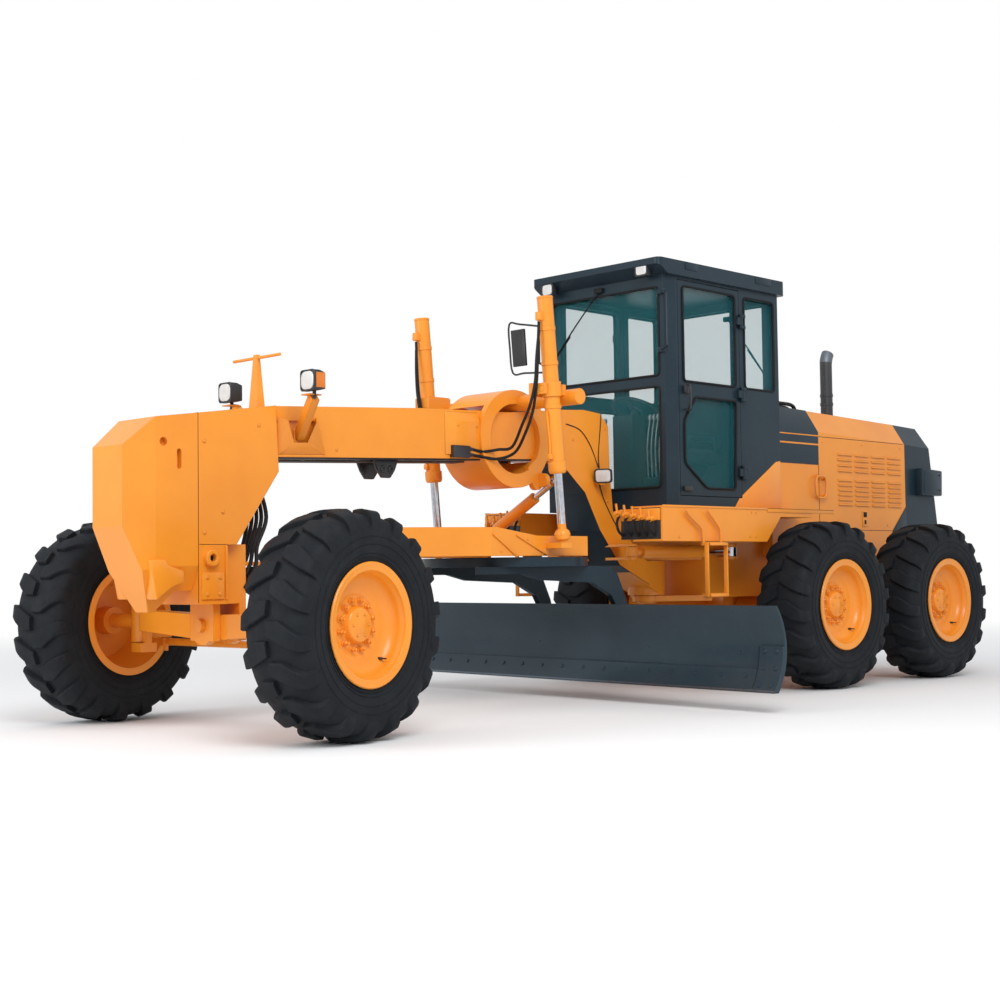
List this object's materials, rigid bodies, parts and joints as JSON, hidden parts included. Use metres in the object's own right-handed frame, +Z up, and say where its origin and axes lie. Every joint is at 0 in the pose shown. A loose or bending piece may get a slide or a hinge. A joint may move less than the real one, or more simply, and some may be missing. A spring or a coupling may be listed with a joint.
{
  "type": "motor grader",
  "caption": "Articulated road grader with a high beam, a curved blade under a turning circle, a glazed cab, a rear hood and tandem wheels behind.",
  "frame": {"origin": "on the ground, under the middle of the machine's length and width", "axes": "+X forward along the machine, +Y to the machine's left, +Z up"},
  "size_m": [8.5849, 4.1943, 3.285],
  "materials": {
    "tyre": "matt bluish black rubber",
    "body_paint": "glossy warm yellow-orange paint",
    "slate_paint": "satin dark slate blue-grey paint",
    "engine": "dark cast iron",
    "stack_metal": "dull heat-stained steel",
    "glass": "clear pale cyan glass",
    "seat_cloth": "dark woven cloth",
    "dark_plastic": "dark matt plastic",
    "rod_chrome": "polished chrome rod"
  },
  "bodies": {
    "rear_frame": {"rear_frame": "body_paint", "tandem_axle": "body_paint", "engine_block": "engine", "hood": "body_paint", "tail_guard": "slate_paint", "exhaust": "stack_metal", "cab_shell": "slate_paint", "cab_glass": "glass", "seat": "seat_cloth", "console": "dark_plastic", "side_boxes": "body_paint", "steps": "body_paint"},
    "door_left": {"door_left": "slate_paint", "door_glass_left": "glass"},
    "door_right": {"door_right": "slate_paint", "door_glass_right": "glass"},
    "front_frame": {"front_frame": "body_paint", "nose_weight": "body_paint", "head_lamps": "dark_plastic", "front_axle": "body_paint", "saddle": "body_paint"},
    "knuckle_left": {"knuckle_left": "body_paint"},
    "knuckle_right": {"knuckle_right": "body_paint"},
    "tie_rod": {"tie_rod": "body_paint"},
    "hitch_swivel": {"hitch_swivel": "slate_paint"},
    "drawbar": {"drawbar": "body_paint"},
    "circle": {"circle": "slate_paint"},
    "blade_carrier": {"blade_carrier": "slate_paint"},
    "blade": {"blade": "slate_paint"},
    "lift_barrel_left": {"lift_barrel_left": "body_paint"},
    "lift_barrel_right": {"lift_barrel_right": "body_paint"},
    "lift_rod_left": {"lift_rod_left": "rod_chrome"},
    "lift_rod_right": {"lift_rod_right": "rod_chrome"},
    "artic_barrel_left": {"artic_barrel_left": "body_paint"},
    "artic_barrel_right": {"artic_barrel_right": "body_paint"},
    "artic_rod_left": {"artic_rod_left": "rod_chrome"},
    "artic_rod_right": {"artic_rod_right": "rod_chrome"},
    "shift_barrel": {"shift_barrel": "body_paint"},
    "shift_rod": {"shift_rod": "rod_chrome"},
    "wheel_mid_left": {"tyre_mid_left": "tyre", "rim_mid_left": "body_paint"},
    "wheel_mid_right": {"tyre_mid_right": "tyre", "rim_mid_right": "body_paint"},
    "wheel_rear_left": {"tyre_rear_left": "tyre", "rim_rear_left": "body_paint"},
    "wheel_rear_right": {"tyre_rear_right": "tyre", "rim_rear_right": "body_paint"},
    "wheel_front_left": {"tyre_front_left": "tyre", "rim_front_left": "body_paint"},
    "wheel_front_right": {"tyre_front_right": "tyre", "rim_front_right": "body_paint"}
  },
  "joints": [
    {"name": "mid_left_wheel_spin", "type": "hinge", "parent": "rear_frame", "child": "wheel_mid_left", "pos_m": [-1.48, 1.065, 0.655], "axis": [0, 1, 0], "continuous": true},
    {"name": "mid_right_wheel_spin", "type": "hinge", "parent": "rear_frame", "child": "wheel_mid_right", "pos_m": [-1.48, -1.065, 0.655], "axis": [0, 1, 0], "continuous": true},
    {"name": "rear_left_wheel_spin", "type": "hinge", "parent": "rear_frame", "child": "wheel_rear_left", "pos_m": [-3.08, 1.065, 0.655], "axis": [0, 1, 0], "continuous": true},
    {"name": "rear_right_wheel_spin", "type": "hinge", "parent": "rear_frame", "child": "wheel_rear_right", "pos_m": [-3.08, -1.065, 0.655], "axis": [0, 1, 0], "continuous": true},
    {"name": "front_left_wheel_spin", "type": "hinge", "parent": "knuckle_left", "child": "wheel_front_left", "pos_m": [3.46964, 1.14559, 0.655], "axis": [-0.1736, 0.9848, 0], "continuous": true},
    {"name": "front_right_wheel_spin", "type": "hinge", "parent": "knuckle_right", "child": "wheel_front_right", "pos_m": [3.57036, -1.14559, 0.655], "axis": [-0.1736, 0.9848, 0], "continuous": true},
    {"name": "door_left_swing", "type": "hinge", "parent": "rear_frame", "child": "door_left", "pos_m": [-1.03, 0.642, 1.5], "axis": [0, 0, 1], "range_deg": [0, 90]},
    {"name": "door_right_swing", "type": "hinge", "parent": "rear_frame", "child": "door_right", "pos_m": [-1.03, -0.642, 1.5], "axis": [0, 0, -1], "range_deg": [0, 90]},
    {"name": "articulation", "type": "hinge", "parent": "rear_frame", "child": "front_frame", "pos_m": [-0.58, 0, 0.88], "axis": [0, 0, 1], "range_deg": [-20, 20]},
    {"name": "steer_left", "type": "hinge", "parent": "front_frame", "child": "knuckle_left", "pos_m": [3.52, 0.86, 0.655], "axis": [0, 0, 1], "range_deg": [-52, 32]},
    {"name": "steer_right", "type": "hinge", "parent": "front_frame", "child": "knuckle_right", "pos_m": [3.52, -0.86, 0.655], "axis": [0, 0, 1], "range_deg": [-52, 32]},
    {"name": "tie_rod_turn", "type": "hinge", "parent": "knuckle_left", "child": "tie_rod", "pos_m": [3.30334, 0.8218, 0.5], "axis": [0, 0, 1], "range_deg": [-32, 52]},
    {"name": "drawbar_shift", "type": "hinge", "parent": "front_frame", "child": "hitch_swivel", "pos_m": [3.22, 0, 0.93], "axis": [0, 0, 1], "range_deg": [-5, 5]},
    {"name": "drawbar_lift", "type": "hinge", "parent": "hitch_swivel", "child": "drawbar", "pos_m": [3.22, 0, 0.93], "axis": [0, 1, 0], "range_deg": [-9, 7]},
    {"name": "circle_turn", "type": "hinge", "parent": "drawbar", "child": "circle", "pos_m": [1.02, 0, 1.01], "axis": [0, 0, -1], "range_deg": [-39, 29.5]},
    {"name": "blade_tip", "type": "hinge", "parent": "circle", "child": "blade_carrier", "pos_m": [0.24346, 0.0734, 0.47], "axis": [0.0941, 0.9956, 0], "range_deg": [-5, 35]},
    {"name": "blade_side_slide", "type": "slide", "parent": "blade_carrier", "child": "blade", "axis": [0.0941, 0.9956, 0], "range_m": [-0.5, 0.5]},
    {"name": "lift_left_swing", "type": "hinge", "parent": "front_frame", "child": "lift_barrel_left", "pos_m": [1.175, 0.63, 2.2], "axis": [1, 0, 0], "range_deg": [-10.75, 10.75]},
    {"name": "lift_left_stroke", "type": "slide", "parent": "lift_barrel_left", "child": "lift_rod_left", "axis": [-0.0893, 0, -0.996], "range_m": [-0.28, 0.35]},
    {"name": "lift_right_swing", "type": "hinge", "parent": "front_frame", "child": "lift_barrel_right", "pos_m": [1.175, -0.63, 2.2], "axis": [1, 0, 0], "range_deg": [-10.75, 10.75]},
    {"name": "lift_right_stroke", "type": "slide", "parent": "lift_barrel_right", "child": "lift_rod_right", "axis": [-0.0893, 0, -0.996], "range_m": [-0.28, 0.35]},
    {"name": "frame_cylinder_left_swing", "type": "hinge", "parent": "front_frame", "child": "artic_barrel_left", "pos_m": [0.07, 0.4, 1.08], "axis": [0, 0, 1], "range_deg": [-9.5, 9.5]},
    {"name": "frame_cylinder_left_stroke", "type": "slide", "parent": "artic_barrel_left", "child": "artic_rod_left", "axis": [-0.9959, 0.0905, 0], "range_m": [-0.18, 0.18]},
    {"name": "frame_cylinder_right_swing", "type": "hinge", "parent": "front_frame", "child": "artic_barrel_right", "pos_m": [0.07, -0.4, 1.08], "axis": [0, 0, 1], "range_deg": [-9.5, 9.5]},
    {"name": "frame_cylinder_right_stroke", "type": "slide", "parent": "artic_barrel_right", "child": "artic_rod_right", "axis": [-0.9959, -0.0905, 0], "range_m": [-0.18, 0.18]},
    {"name": "shift_cylinder_swing", "type": "hinge", "parent": "drawbar", "child": "shift_barrel", "pos_m": [0.72, -0.43, 1.235], "axis": [1, 0, 0], "range_deg": [-20, 25]},
    {"name": "shift_cylinder_stroke", "type": "slide", "parent": "shift_barrel", "child": "shift_rod", "axis": [0, 0.8766, 0.4812], "range_m": [-0.17, 0.22]}
  ],
  "couplings": [
    {"joint": "steer_right", "follows": "steer_left", "ratio": 1},
    {"joint": "tie_rod_turn", "follows": "steer_left", "ratio": -1},
    {"joint": "lift_left_swing", "follows": "drawbar_shift", "ratio": -2.05},
    {"joint": "lift_left_stroke", "follows": "drawbar_lift", "m_per_rad": -2.15},
    {"joint": "lift_right_swing", "follows": "drawbar_shift", "ratio": -2.05},
    {"joint": "lift_right_stroke", "follows": "drawbar_lift", "m_per_rad": -2.15},
    {"joint": "frame_cylinder_left_swing", "follows": "articulation", "ratio": -0.4468},
    {"joint": "frame_cylinder_left_stroke", "follows": "articulation", "m_per_rad": -0.4572},
    {"joint": "frame_cylinder_right_swing", "follows": "articulation", "ratio": -0.4468},
    {"joint": "frame_cylinder_right_stroke", "follows": "articulation", "m_per_rad": 0.4572},
    {"joint": "shift_cylinder_swing", "follows": "drawbar_lift", "ratio": -2.65},
    {"joint": "shift_cylinder_stroke", "follows": "drawbar_lift", "m_per_rad": -1.28}
  ]
}
